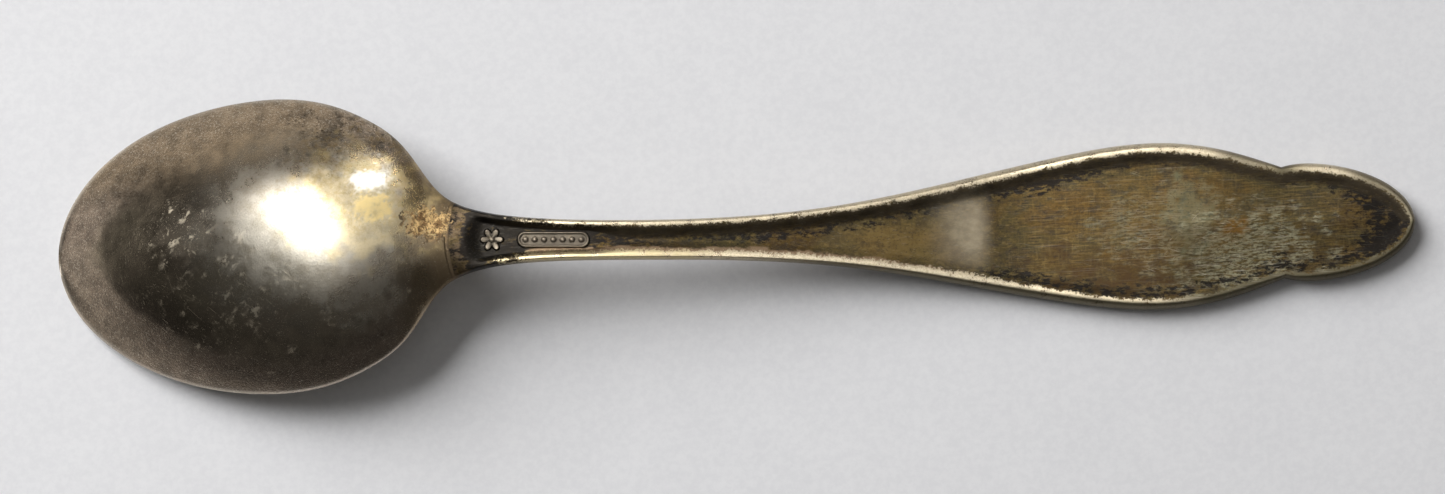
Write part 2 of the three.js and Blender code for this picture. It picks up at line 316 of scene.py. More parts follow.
def crest_inset(s):
    """Distance from the outline to the crest beside the recess."""
    waist = np.exp(-(((s - WAIST_AT) / 2.5) ** 2))
    return mix(STEM_CREST_INSET, PANEL_CREST_INSET, ease(s, *PANEL_WIDENS)) * (1 - 0.45 * waist)


def recess_share(s, y):
    """0 outside the struck recess of the back, 1 on its floor."""
    centre = CHANNEL_START + CHANNEL_END_RADIUS
    from_start = np.where(s < centre, CHANNEL_END_RADIUS - np.hypot(s - centre, y), START_WALL)
    from_edge = inset(s, y) - crest_inset(s) - CREST_WIDTH
    side_wall = mix(*CHANNEL_WALL, ease(s, *WALL_WIDENS))
    return ease(from_edge, 0, side_wall) * ease(from_start, 0, START_WALL)


def pill_distance(x, y, length, width):
    """Distance in from the edge of a round-ended tablet."""
    reach = length / 2 - width / 2
    return width / 2 - np.hypot(np.maximum(np.abs(x) - reach, 0), y)


def stem_relief(s, y):
    """The tablet with its pellets and the small rosette, struck up from the channel."""
    inside = pill_distance(s - TABLET_AT, y, TABLET_LENGTH, TABLET_WIDTH)
    rim = ease(inside, 0, 0.14)
    sunk = ease(inside, 0.22, 0.36)
    pitch = (TABLET_LENGTH - TABLET_WIDTH) / (PELLET_COUNT - 1)
    index = np.clip(np.round((s - TABLET_AT) / pitch), -3, 3)
    bead = np.hypot(s - TABLET_AT - index * pitch, y) / PELLET_RADIUS
    tablet = TABLET_RISE * (rim - 0.4 * sunk) + 0.16 * np.sqrt(np.maximum(0, 1 - bead**2))
    r = np.hypot(s - ROSETTE_AT, y)
    angle = np.arctan2(y, s - ROSETTE_AT)
    lobe = np.abs(np.cos(ROSETTE_PETALS * angle / 2))
    petal = ROSETTE_RADIUS * (0.5 + 0.5 * lobe**0.8)
    dish = 0.55 + 0.45 * np.clip(r / ROSETTE_RADIUS, 0, 1)
    flower = 0.26 * ease(petal - r, 0, 0.16) * dish * (0.75 + 0.25 * lobe)
    boss = 0.3 * np.sqrt(np.maximum(0, 1 - (r / 0.38) ** 2))
    return np.maximum(tablet * (inside > 0), np.maximum(flower, boss))


def back_level(s, y):
    """Level of the back."""
    w = np.maximum(half_width(s), 1e-6)
    share = stem_share(s)
    lip = RIM_ROUND * (1 - share)
    dome = lip + (crown(s) - 1.5 * lip) * (1 - (y / w) ** 2)
    dome = dome + 0.5 * lip * quarter_round(inset(s, y), RIM_ROUND)
    wall = crown(s) * quarter_round(inset(s, y), crest_inset(s))
    depth = mix(STEM_CHANNEL_DEPTH, PANEL_DEPTH, ease(s, *PANEL_WIDENS))
    return edge_level(s) + mix(dome, wall, share) - depth * recess_share(s, y)


def hollow_level(s, y):
    """Level of the bowl's rounded rim and the roof of its hollow."""
    u = inset(s, y)
    open_width = np.maximum(0, half_width(s) - BOWL_RIM * edge_stretch(s))
    full = BOWL_HALF_WIDTH - BOWL_RIM
    tip_rise = (BOWL_DEPTH - thickness(s)) * (open_width / full) ** 2
    rise = np.where(s < BOWL_WIDEST_AT, tip_rise, crown(s) - thickness(s))
    roof = rise * np.maximum(0, 1 - (y / np.maximum(open_width, 1e-6)) ** 2)
    rim = RIM_ROUND * (1 - quarter_round(u, RIM_ROUND))
    inner = 0.12 * ease(u, RIM_ROUND, BOWL_RIM)
    return edge_level(s) + rim + inner + roof


def leaf_relief(s, y):
    """Veins of the finial's leaf: a midrib and pairs of side veins that sweep forward."""
    along = ease(s, 131, 133) * (1 - ease(s, 140, 143.5))
    midrib = 0.32 * (1 - ease(np.abs(y), 0, 0.7))
    phase = (s - 0.9 * np.abs(y)) / 1.5
    side = 0.17 * np.maximum(0, np.cos(2 * np.pi * phase)) ** 3
    return np.maximum(midrib, side) * along


def face_relief(s, y):
    """How far the face lies above the table level of its highest parts."""
    u = inset(s, y)
    field = FIELD_DEPTH * ease(u, BORDER_WIDTH, BORDER_WIDTH + BORDER_WALL)
    thread = 0.16 * np.exp(-(((u - 0.95) / 0.13) ** 2))
    oval = np.hypot((s - CARTOUCHE_AT) / (CARTOUCHE_LENGTH / 2), y / (CARTOUCHE_WIDTH / 2))
    plate = 1 - ease(oval, 1, 1.05)
    ring = 0.12 * np.exp(-(((oval - 0.88) / 0.03) ** 2))
    struck = np.maximum(0, field - leaf_relief(s, y)) + thread
    return mix(struck, ring, plate) * ease(s, FIELD_FROM, FIELD_FROM + 10)


def face_level(s, y):
    """Level of the face of the stem and handle, which lies downwards."""
    below = thickness(s) - crown(s)
    return edge_level(s) - below * quarter_round(inset(s, y), FRONT_ROUND) + face_relief(s, y)


def under_level(s, y):
    """Level of the underside: the bowl's hollow, then the face of the handle."""
    return mix(hollow_level(s, y), face_level(s, y), stem_share(s))


# --------------------------------------------------------------- section rows


def back_across(s, theta):
    """Across the bowl's back, theta running from 0 to pi, bunched at the rim."""
    return -half_width(s) * np.cos(theta)


def border_across(s, t, zones):
    """Across the handle, t from -1 to 1, with the given share of it spent near each side.

    zones is (distance in from the side, share of t there)."""
    width, share = zones
    w = half_width(s)
    near = np.minimum(width * edge_stretch(s), 0.55 * w)
    a = np.abs(t)
    side = np.clip((1 - a) / share, 0, 1)
    outer = w - near * side**1.6
    inner = (w - near) * np.clip(a / (1 - share), 0, 1)
    return np.sign(t) * np.where(a > 1 - share, outer, inner)


def under_across(s, t):
    """Across the underside, t from -1 to 1: over the rim first, then the hollow."""
    w = half_width(s)
    lip = np.minimum(BOWL_RIM * edge_stretch(s), 0.7 * w)
    share = 0.3
    a = np.abs(t)
    side = np.clip((1 - a) / share, 0, 1)
    inner = (w - lip) * np.sin(np.pi / 2 * np.clip(a / (1 - share), 0, 1))
    return np.sign(t) * np.where(a > 1 - share, w - lip * side**2, inner)


def handle_back_across(s, t):
    return border_across(s, t, BACK_ZONES)


def handle_face_across(s, t):
    return border_across(s, t, FACE_ZONES)


def seam_station(t, across, level, offset):
    """Where the slanting seam, moved along its normal by offset, meets a surface."""
    s = np.full_like(t, SEAM_AT)
    for _ in range(SEAM_ROUNDS):
        rise = level(s, across(s, t))
        s = SEAM_AT + (SEAM_HEIGHT - rise) * math.tan(SEAM_LEAN)
        s = s + offset / math.cos(SEAM_LEAN)
    return s


# ---------------------------------------------------------------------- meshes


def spread(start, end, step):
    """Stations from start up to, but not including, end."""
    return np.linspace(start, end, max(2, round((end - start) / step) + 1))[:-1]


def tip_spread(tip, end, count):
    """Stations from just inside a round tip to end, bunched at the tip."""
    k = np.arange(1, count + 1) / count
    return tip + (end - tip) * (1 - np.cos(np.pi / 2 * k))


def grid_faces(rows, columns, start=0):
    """Quads of a grid whose columns wrap round."""
    i, j = np.meshgrid(np.arange(rows - 1), np.arange(columns), indexing="ij")
    k = (j + 1) % columns
    near, far = i * columns, (i + 1) * columns
    quads = np.stack([near + j, far + j, far + k, near + k], -1)
    return quads.reshape(-1, 4) + start


def cap_faces(first, columns):
    """Quads across the open end of a ring, from its back points to its under points."""
    half = columns // 2
    back = first + np.arange(half)
    under = first + columns - 1 - np.arange(half)
    return np.stack([back[:-1], back[1:], under[1:], under[:-1]], -1)


def make_mesh(name, points, faces, paint):
    """A smooth-shaded mesh from points in millimetres, with a value per point for each paint."""
    mesh = bpy.data.meshes.new(name)
    mesh.from_pydata((points * MM).tolist(), [], faces)
    mesh.shade_smooth()
    for key, values in paint.items():
        layer = mesh.attributes.new(key, "FLOAT", "POINT")
        layer.data.foreach_set("value", np.asarray(values, np.float32))
    mesh.update()
    piece = bpy.data.objects.new(name, mesh)
    bpy.context.collection.objects.link(piece)
    return piece


# How far the spoon's axis strays sideways.
bend = curve_through(
    [(0, -0.48), (8, -0.30), (15, -0.25), (30, -0.12), (38, -0.20), (45, -0.28), (60, -0.60)]
    + [(95, -0.56), (120, -0.42), (135, -0.45), (146, -0.62)]
)


def place(s, y, level):
    """Points in the frame, from stations, distances across and levels."""
    return np.stack([s - LENGTH / 2 + (LOW[0] + HIGH[0]) / 2, y + bend(s), level + LOW[2]], -1)


def flat(s, y):
    """Noise points for stations and distances across, all at one level."""
    return np.stack([s, y, np.zeros_like(s)], -1)


def dents(s, y):
    """Slow unevenness of a struck and handled surface."""
    return 0.022 * layered(flat(s, y), 5.5, 11, 2) + 0.004 * layered(flat(s, y), 1.1, 21, 2)


def spoon_ring(rows, seam_rows, seam_first, offset, back, under):
    """Grids of stations and distances across, for a piece's back and its underside.

    seam_rows of them run from a plain station to the slanting seam, before or after rows. back
    and under are each (steps across, function that gives the distance across at a step)."""
    grids = []
    for (t, across), level in ((back, back_level), (under, under_level)):
        seam = seam_station(t, across, level, offset)
        plain = np.repeat(rows[:, None], len(t), 1)
        share = np.linspace(0, 1, seam_rows)[:, None]
        if seam_first:
            slanted = mix(seam[None], rows[0], share)[:-1]
            s = np.concatenate([slanted, plain])
        else:
            slanted = mix(rows[-1], seam[None], share)[1:]
            s = np.concatenate([plain, slanted])
        grids.append((s, across(s, t[None])))
    return grids


def bowl_points():
    """Grids of the bowl, from its tip to the seam."""
    theta = np.linspace(0, np.pi, BOWL_COLUMNS)[:-1]
    t = np.linspace(1, -1, BOWL_COLUMNS)[:-1]
    tip = tip_spread(0, BOWL_WIDEST_AT, BOWL_TIP_ROWS)
    rest = spread(BOWL_WIDEST_AT + BOWL_ROW_STEP, BOWL_ROWS_END, BOWL_ROW_STEP)
    rows = np.concatenate([tip, rest])
    return spoon_ring(rows, BOWL_SEAM_ROWS, False, 0.0, (theta, back_across), (t, under_across))


def handle_points():
    """Grids of the handle, from the seam to its point, finest at the struck marks."""
    t = np.linspace(-1, 1, HANDLE_COLUMNS)[:-1]
    marks = spread(HANDLE_ROWS_FROM, MARKS_END, MARKS_ROW_STEP)
    shaft = spread(MARKS_END, WAIST_AT, SHAFT_ROW_STEP)
    finial = tip_spread(LENGTH, WAIST_AT, FINIAL_ROWS)[::-1]
    rows = np.concatenate([marks, shaft, finial])
    sides = (t, handle_back_across), (-t, handle_face_across)
    return spoon_ring(rows, HANDLE_SEAM_ROWS, True, SOLDER_FILM, *sides)


def finish_ring(name, grids, relief, paint, tip=None, cap_first=False, cap_last=False):
    """A closed piece from the grids of its back and its underside."""
    (s_back, y_back), (s_under, y_under) = grids
    s = np.concatenate([s_back, s_under], 1)
    y = np.concatenate([y_back, y_under], 1)
    up = np.concatenate([np.ones_like(s_back), np.zeros_like(s_under)], 1)
    level = np.concatenate([back_level(s_back, y_back), under_level(s_under, y_under)], 1)
    level = level + relief(s, y, up)
    points = place(s, y, level).reshape(-1, 3)
    values = {key: value.reshape(-1) for key, value in paint(s, y, up).items()}
    rows, columns = s.shape
    faces = grid_faces(rows, columns).tolist()
    last = (rows - 1) * columns
    if cap_first:
        faces += cap_faces(0, columns).tolist()
    if cap_last:
        faces += cap_faces(last, columns)[:, ::-1].tolist()
    if tip is not None:
        ring = 0 if tip == 0 else last
        closing = points[ring : ring + columns].mean(0)
        closing[0] = tip - LENGTH / 2
        points = np.vstack([points, closing])
        values = {key: np.append(value, value[ring]) for key, value in values.items()}
        apex = len(points) - 1
        for j in range(columns):
            k = (j + 1) % columns
            faces.append([apex, ring + j, ring + k] if tip == 0 else [ring + j, apex, ring + k])
    piece = make_mesh(name, points, faces, values)
    piece.data.set_sharp_from_angle(angle=SHARP_ANGLE)
    return piece


# ------------------------------------------------------------------------ wear and painted light


# Worn and stained patches, and painted shade, highlight and reflection: middle (station, distance
# across), half size, seed, raggedness.
BOWL_PATCHES = {
    "right_top": ((35.5, 10.5), (9, 4.2), 5, 0.6),
    "neck": ((43.5, -2.0), (5.0, 3.4), 8, 0.6),
    # Painted shade: the dark reflection at the upper left of the bowl.
    "far_left_shade": ((11.5, 5.8), (6.3, 4.1), 12, 0.12),
    "polished_top": ((32.5, 4), (6.5, 7), 4, 0.25),
    "polished_low": ((32.5, -4), (6.5, 5), 28, 0.4),
    "hazy": ((14.5, 1.6), (3.7, 2.8), 29, 0.6),
    "yellow": ((33.5, 3.5), (7, 6), 14, 0.5),
    # A painted reflection: the golden highlight by the neck, with its sharp edge.
    "golden_reflection": ((34.8, 3.4), (2.6, 1.6), 6, 0.5),
    "scuffed": ((13.8, 1.9), (3.6, 3.4), 9, 0.7),
    "scuffed_low": ((21, -6), (10, 7), 13, 1.2),
    "freckled": ((34, 6.5), (9, 6.5), 15, 0.4),
    "copper": ((39.8, 1.8), (2.8, 1.9), 7, 0.5),
    # A painted highlight: the white spot of the bowl's second highlight.
    "shine": ((34.5, 6.3), (2.1, 1.15), 24, 0.45),
}
HANDLE_PATCHES = {
    "rust": ((126.7, -0.2), (1.5, 1.1), 18, 0.5),
    "rusty_middle": ((120, 1), (9, 5), 16, 0.5),
    "rusty_top": ((107, 3.5), (5.5, 3.2), 36, 0.5),
    "chalk": ((126.5, -2.8), (8.5, 4.6), 19, 0.8),
    "thin_chalk": ((117, 0), (5.5, 4), 23, 0.9),
    "green": ((121.5, 0.6), (2.6, 4.4), 30, 0.7),
    "umber": ((112, -5.4), (9, 3.4), 27, 0.8),
    "thin_umber": ((120, -4), (4, 3.5), 35, 0.5),
}
SKIN_PATCH = ((40.4, 1.7), (2.3, 1.6), 7, 0.9)
SOLDER_COPPER_PATCH = ((40.4, 1.8), (2.6, 2.1), 7, 0.4)

# Soot under the handle's upper crest, as (station, value): how dark it is, how far it reaches.
DARKENING = (
    [(46, 1.0), (60, 0.85), (68, 0.62), (85, 0.66), (100, 0.95), (118, 0.85), (126, 0.6)]
    + [(132, 0.55), (137, 0.9), (146, 0.9)]
)
DARK_REACH = (
    [(46, 3.2), (72, 3.0), (85, 2.9), (100, 2.9), (107, 3.5), (114, 2.8), (121, 2.1)]
    + [(133, 2.1), (139, 3.1), (146, 3.0)]
)


def spot(s, y, at, size, seed, ragged):
    """A worn or stained patch: 1 inside, 0 outside, with a ragged edge."""
    away = np.hypot((s - at[0]) / size[0], (y - at[1]) / size[1])
    return 1 - ease(away + ragged * layered(flat(s, y), 0.22 * min(size), seed), 0.55, 1.25)


def spots(s, y, patches):
    """The share of each patch, by its name."""
    return {name: spot(s, y, *patch) for name, patch in patches.items()}


def between(s, start, full, fading, end):
    """A share that rises from start to full and falls from fading to end."""
    return ease(s, start, full) * (1 - ease(s, fading, end))


def along(s, table):
    """Straight lines through (station, value) pairs."""
    return np.interp(s, *np.array(table).T)


def rim_distance(s, y):
    """Distance in from the bowl's rim, true round the tip as well."""
    lengthwise = np.maximum(0, 1 - s / BOWL_WIDEST_AT)
    sideways = y / BOWL_HALF_WIDTH
    r = np.hypot(lengthwise, sideways)
    slope = np.hypot(lengthwise / BOWL_WIDEST_AT, sideways / BOWL_HALF_WIDTH)
    return np.where(s < BOWL_WIDEST_AT, (1 - r) * r / np.maximum(slope, 1e-6), inset(s, y))


def shade_band(s, y):
    """Painted shade: a dark band just inside the tarnish ring, towards the bowl's tip, where the
    reflection turns dark.
    """
    wider = 1.6 * ease(s, 8, 18) * ease(y, 0, 6)
    narrower = 1.5 * ease(s, 10, 22) * ease(-y, 2, 10)
    start = 5.1 + wider - narrower + 0.25 * layered(flat(s, y), 1.3, 33)
    band = between(rim_distance(s, y), start - 0.5, start + 0.5, start + 1.5, start + 5)
    return band * (1 - ease(s, 13, 21))


def bowl_paint(s, y, up):
    """Shares of each kind of wear on the bowl, and of painted shade, highlight and reflection. up
    is 1 on the back and 0 on the underside.
    """
    u = inset(s, y)
    at = spots(s, y, BOWL_PATCHES)
    narrowing = ease(s, 10, 24)
    ring = 1 - ease(u, mix(4.0, 2.2, narrowing), mix(7.5, 5.0, narrowing))
    away = np.hypot((s - 27.2) / 12, (y - 1.2) / 9.5) + 0.1 * layered(flat(s, y), 3.5, 3)
    middle = 1 - ease(away, 0.25, 1.35)
    polished = np.maximum.reduce([middle, at["polished_top"], 0.6 * at["polished_low"]])
    rim = np.exp(-((u / 0.35) ** 2))
    tip_edge = np.exp(-((u / 0.4) ** 2)) * (1 - ease(s, 5, 12))
    # Dark stains, with a little painted shade at the upper left of the bowl.
    dark = 0.8 * at["right_top"] + 0.65 * at["neck"] + 0.2 * at["far_left_shade"]
    # Painted reflection: the golden highlight by the neck, cut off sharply at its right edge.
    golden_reflection = at["golden_reflection"] * (1 - ease(s, 36.6, 37.0))
    return {
        "clean": np.clip(polished * up + 0.5 * rim, 0, 1),
        "matt": np.maximum(tip_edge, 0.2 * at["hazy"] * up),
        "dark": np.clip(dark, 0, 1) * up,
        "ring": ring * up,
        "tan": ease(y, 4, 9) * (1 - ease(s, 28, 36)) * up,
        # Painted shade: the dark reflection at the left and a dark band inside the tarnish ring.
        "shaded": np.maximum(0.6 * at["far_left_shade"], shade_band(s, y)) * up,
        # Yellow stain, with the painted golden reflection by the neck.
        "gold": np.maximum(0.95 * golden_reflection, 0.4 * at["yellow"]) * up,
        "freckled": 0.7 * at["freckled"] * up,
        "copper": 0.7 * at["copper"] * up,
        "browned": ease(s, 36, 39.5) * up,
        "neck": ease(s, 39, 41.8) * up,
        # Painted highlight: the white spot of the second highlight.
        "shine": at["shine"] * up,
        "scuff": np.maximum(at["scuffed"], 0.4 * at["scuffed_low"]) * up,
    }


def crest_ridge(s, u, lower):
    """The bright worn crest, which is wider on the lower side of the stem."""
    crest = crest_inset(s) + CREST_WIDTH
    inner = lower * (1 - ease(s, 98, 112))
    ridge = 1 - ease(u, crest - 0.25 + 0.3 * inner, crest + 0.6 + 0.25 * inner)
    return ridge * ease(s, mix(43.5, 45, lower), mix(60, 53, lower))


def dull_sides(s, u, lower):
    """Duller stretches outside the lower crest and along the finial."""
    reach = mix(0.8, 1.2, ease(s, 96, 106)) * (crest_inset(s) + CREST_WIDTH)
    outer = lower * (1 - ease(u, 0.5 * reach, reach)) * ease(s, 68, 84)
    upper = 0.7 * between(s, 123, 127, 132, 134) + 0.75 * ease(s, 137, 141)
    return np.maximum(0.9 * outer, mix(upper, ease(s, 114, 124), lower))


def upper_wall_light_share(s, u, lower):
    """The recess wall under the upper crest, lightened with painted light against its shade."""
    crest = crest_inset(s) + CREST_WIDTH
    width = mix(*CHANNEL_WALL, ease(s, *WALL_WIDENS))
    return (1 - lower) * between(u, crest, crest + 0.3, crest + 0.6 * width, crest + width)


def soot_share(s, y, u, lower):
    """Soot under the upper crest, round the marks, in the finial and by the lower crest."""
    from_top = (half_width(s) - y) / edge_stretch(s)
    reach = along(s, DARK_REACH)
    shade = along(s, DARKENING) * (1 - ease(from_top, reach - 0.9, reach + 0.9))
    marks = 1.4 * (1 - ease(s, 57, 60))
    finial = ease(s, 136, 142) * (0.6 + 0.7 * (1 - ease(u, 1.8, 4.2)))
    low_edge = 0.75 * (1 - ease(u, 1.4, 3.4)) * lower * ease(s, 96, 103)
    centre = CHANNEL_START + CHANNEL_END_RADIUS
    from_start = CHANNEL_END_RADIUS - np.hypot(s - centre, y)
    inside = np.where(s < centre, ease(from_start, -0.9, 0.5), 1)
    return inside * np.maximum.reduce([shade, marks, finial, low_edge]) + 0.45 * (1 - inside)


def handle_paint(s, y, up):
    """Shares of each kind of wear on the handle, with a painted reflection band and painted light
    on the wall under the upper crest. up is 1 on the back and 0 on the face.
    """
    u = inset(s, y)
    at = spots(s, y, HANDLE_PATCHES)
    lower = ease(-y, -0.3, 0.3)
    ridge = crest_ridge(s, u, lower)
    waist = np.exp(-(((s - WAIST_AT) / 2.0) ** 2)) * (1 - ease(u, 1.6, 2.6))
    band = np.exp(-((np.abs(y - 0.2) / 3.6) ** 3))
    low_wall = lower * (1 - ease(u, 0.85, 1.75))
    bare = 1 - ease(np.abs(y + 0.9), 0.8, 3.4)
    rust = np.maximum.reduce([at["rust"], 0.3 * at["rusty_middle"], 0.28 * at["rusty_top"]])
    return {
        "clean": ridge * up + 0.35 * (1 - up),
        "dull": np.maximum(0.95 * waist, dull_sides(s, u, lower)) * up,
        "golden": (0.35 + 0.5 * lower * (1 - ease(s, 66, 74)) + 0.4 * waist) * up,
        "dark": soot_share(s, y, u, lower) * (1 - ridge) * up,
        # Painted reflection: the pale band where the recess floor levels out, with a sharp right
        # edge.
        "rubbed": band * between(s, 92.5, 99, 98.2, 101.0) * up,
        "brushed": ease(s, 99, 105),
        "neck": 1 - ease(s, 44, 45.5),
        "wall": low_wall * between(s, 49, 53, 92, 104) * up,
        # Painted light: lightens the shaded wall under the upper crest.
        "eave": upper_wall_light_share(s, u, lower) * ease(s, 46, 49) * up,
        "bare": bare * between(s, 80, 88, 94, 97) * up,
        "gold": rust * up,
        "green": at["green"] * up,
        "umber": np.maximum(at["umber"], 0.6 * at["thin_umber"]) * up,
        "scuff": np.maximum(at["chalk"], 0.42 * at["thin_chalk"]) * up,
        "struck": stem_relief(s, y) / TABLET_RISE * up,
    }


# ---------------------------------------------------------------------- pieces


def make_bowl():
    """The struck bowl, with the neck up to the seam."""

    def relief(s, y, up):
        return dents(s, y) * ease(s, 0, 4)

    piece = finish_ring("bowl_shell", bowl_points(), relief, bowl_paint, tip=0, cap_last=True)
    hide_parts("bowl")
    return piece


def make_handle():
    """The struck handle, from the seam to the point of its finial."""

    def relief(s, y, up):
        worn = dents(s, y) * (1 - 0.8 * ease(s, 100, 106) * (1 - up))
        return worn * ease(LENGTH - s, 0, 3) + stem_relief(s, y) * up

    grids = handle_points()
    piece = finish_ring("handle_struck", grids, relief, handle_paint, tip=LENGTH, cap_first=True)
    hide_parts("handle")
    return piece


def seam_film():
    """Points and faces of the film in the seam, which stands a hair proud of the surface."""
    t = np.linspace(-1, 1, HANDLE_COLUMNS)[:-1]
    rings = []
    for step in np.linspace(-SEAM_OVERLAP, SOLDER_FILM + SEAM_OVERLAP, SEAM_RINGS):
        share = (step + SEAM_OVERLAP) / (SOLDER_FILM + 2 * SEAM_OVERLAP)
        proud = SEAM_PROUD * math.sin(math.pi * share)
        ring = []
        for at, level, lift in ((t, back_level, proud), (-t, under_level, -proud)):
            s = seam_station(at, handle_back_across, level, step)
            y = handle_back_across(s, at)
            side = np.sign(at) * proud * (np.abs(at) > 0.9)
            ring.append(place(s, y + side, level(s, y) + lift))
        rings.append(np.concatenate(ring))
    columns = 2 * len(t)
    faces = grid_faces(len(rings), columns).tolist()
    faces += cap_faces(0, columns).tolist()
    faces += cap_faces((len(rings) - 1) * columns, columns)[:, ::-1].tolist()
    return np.concatenate(rings), faces


def solder_skin(start):
    """Points and faces of the thin skin that ran out over the neck, numbered from start."""
    stations = np.arange(*SKIN_STATIONS, SKIN_STEP)
    s, t = np.meshgrid(stations, np.linspace(*SKIN_ACROSS, SKIN_COLUMNS), indexing="ij")
    y = np.clip(t * half_width(s), -1.0, 5.0)
    inside = spot(s, y, *SKIN_PATCH) * (1 - ease(t, 0.8, 0.9))
    skin = SKIN_RISE * inside * (1 + 0.6 * layered(flat(s, y), 0.5, 31)) - SKIN_SUNK
    top = place(s, y, back_level(s, y) + dents(s, y) + skin).reshape(-1, 3)
    under = top - [0, 0, 0.1]
    rows, n = s.shape
    i, j = np.meshgrid(np.arange(rows - 1), np.arange(n - 1), indexing="ij")
    a = (start + i * n + j).reshape(-1)
    quads = np.stack([a, a + n, a + n + 1, a + 1], -1)
    first, right = np.arange(n), n - 1 + n * np.arange(1, rows)
    last, left = (rows - 1) * n + np.arange(n - 2, -1, -1), n * np.arange(rows - 2, 0, -1)
    edge = np.concatenate([first, right, last, left]) + start
    after = np.roll(edge, -1)
    sides = np.stack([edge, after, after + len(top), edge + len(top)], -1)
    faces = quads.tolist() + (quads[:, ::-1] + len(top)).tolist() + sides.tolist()
    return np.concatenate([top, under]), faces


def make_solder():
    """The film in the seam and the skin over the neck, as one piece."""
    film, film_faces = seam_film()
    skin, skin_faces = solder_skin(len(film))
    points = np.concatenate([film, skin])
    station, across = points[:, 0] + LENGTH / 2, points[:, 1]
    copper = spot(station, across, *SOLDER_COPPER_PATCH)
    piece = make_mesh("solder_joint", points, film_faces + skin_faces, {"copper": copper})
    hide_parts("neck_solder")
    return piece


# ------------------------------------------------------------------- materials


class Nodes:
    """Builds a node tree a line at a time."""

    def __init__(self, tree):
        self.tree = tree

    def node(self, kind, **settings):
        made = self.tree.nodes.new(kind)
        for key, value in settings.items():
            setattr(made, key, value)
        return made

    def wire(self, value, socket):
        """Connects a node's output to a socket, or sets a plain value there."""
        if isinstance(value, bpy.types.NodeSocket):
            self.tree.links.new(value, socket)
        else:
            socket.default_value = value

    def span(self, value, low, high, to_low=0.0, to_high=1.0):
        """A smooth step from to_low to to_high, as value goes from low to high."""
        made = self.node("ShaderNodeMapRange", interpolation_type="SMOOTHSTEP")
        self.wire(value, made.inputs["Value"])
        limits = {"From Min": low, "From Max": high, "To Min": to_low, "To Max": to_high}
        for key, number in limits.items():
            made.inputs[key].default_value = number
        return made.outputs["Result"]

    def math(self, operation, a, b, clamp=False):
        made = self.node("ShaderNodeMath", operation=operation, use_clamp=clamp)
        self.wire(a, made.inputs[0])
        self.wire(b, made.inputs[1])
        return made.outputs["Value"]

    def times(self, a, b, clamp=False):
        return self.math("MULTIPLY", a, b, clamp)

    def plus(self, a, b):
        return self.math("ADD", a, b)

    def most(self, first, *others, clamp=False):
        """The largest of several values."""
        for other in others:
            first = self.math("MAXIMUM", first, other, clamp)
        return first

    def broken(self, share, noise, low, high, onset):
        """A share with a ragged edge, faded out where the share itself is below onset."""
        return self.times(self.span(self.plus(share, noise), low, high), self.span(share, *onset))

    def dot(self, vector, axis):
        made = self.node("ShaderNodeVectorMath", operation="DOT_PRODUCT")
        self.wire(vector, made.inputs[0])
        made.inputs[1].default_value = axis
        return made.outputs["Value"]

    def blend(self, share, a, b):
        """A colour that goes from a to b as share goes from 0 to 1."""
        made = self.node("ShaderNodeMix", data_type="RGBA")
        self.wire(share, made.inputs["Factor"])
        self.wire((*a, 1) if isinstance(a, tuple) else a, made.inputs[6])
        self.wire((*b, 1) if isinstance(b, tuple) else b, made.inputs[7])
        return made.outputs[2]


class Shader(Nodes):
    """A material, in millimetres of the spoon's own frame."""

    def __init__(self, name):
        self.material = bpy.data.materials.new(name)
        self.material.use_nodes = True
        super().__init__(self.material.node_tree)
        self.surface = self.tree.nodes["Principled BSDF"]
        self.position = self.node("ShaderNodeTexCoord").outputs["Object"]

    def paint(self, name):
        """The value that the mesh is painted with under a name."""
        return self.node("ShaderNodeAttribute", attribute_name=name).outputs["Fac"]

    def stain(self, colour, name, share, over):
        """The colour with another over it, as far as the mesh is painted with name."""
        return self.blend(self.times(self.paint(name), share), colour, over)

    def give(self, name, value):
        """Connects or sets one of the surface's own inputs."""
        self.wire(value, self.surface.inputs[name])

    def noise(self, size, detail=3, rough=0.55, longer=1.0, turn=0.0, shift=0.0):
        """Noise with features of a size in millimetres, drawn out along a turned direction."""
        mapping = self.node("ShaderNodeMapping", vector_type="TEXTURE")
        self.wire(self.position, mapping.inputs["Vector"])
        mapping.inputs["Scale"].default_value = (MM * size * longer, MM * size, MM * size)
        mapping.inputs["Rotation"].default_value = (0, 0, turn)
        mapping.inputs["Location"].default_value = [MM * size * shift * k for k in (1.0, 0.7, 0.3)]
        made = self.node("ShaderNodeTexNoise")
        self.wire(mapping.outputs["Vector"], made.inputs["Vector"])
        made.inputs["Scale"].default_value = 1
        made.inputs["Detail"].default_value = detail
        made.inputs["Roughness"].default_value = rough
        return made.outputs["Fac"]

    def bump(self, height, distance, strength=1.0, under=None):
        made = self.node("ShaderNodeBump")
        made.inputs["Strength"].default_value = strength
        made.inputs["Distance"].default_value = distance * MM
        self.wire(height, made.inputs["Height"])
        if under is not None:
            self.wire(under, made.inputs["Normal"])
        return made.outputs["Normal"]


SILVER = (0.70, 0.65, 0.55)
# Yellow stain, also the colour of the painted golden reflection.
PALE_GOLD = (0.98, 0.77, 0.36)
COPPER = (0.50, 0.32, 0.145)
FRECKLE = (0.30, 0.215, 0.105)
# Colour of the painted second highlight.
HIGHLIGHT_WHITE = (0.95, 0.92, 0.84)
NECK_FILM = (0.25, 0.19, 0.115)
NECK_DARK = (0.135, 0.100, 0.060)
WARM_FILM = (0.36, 0.300, 0.225)
OLIVE_FILM = (0.33, 0.283, 0.205)
MAUVE_FILM = (0.36, 0.285, 0.225)
TAN_FILM = (0.35, 0.262, 0.165)
PATINA_BROWN = (0.054, 0.032, 0.008)
PATINA_OLIVE = (0.046, 0.037, 0.014)
BRUSHED = (0.130, 0.088, 0.030)
CHALK = (0.192, 0.180, 0.116)
UMBER = (0.040, 0.022, 0.0075)
VERDIGRIS = (0.100, 0.108, 0.066)
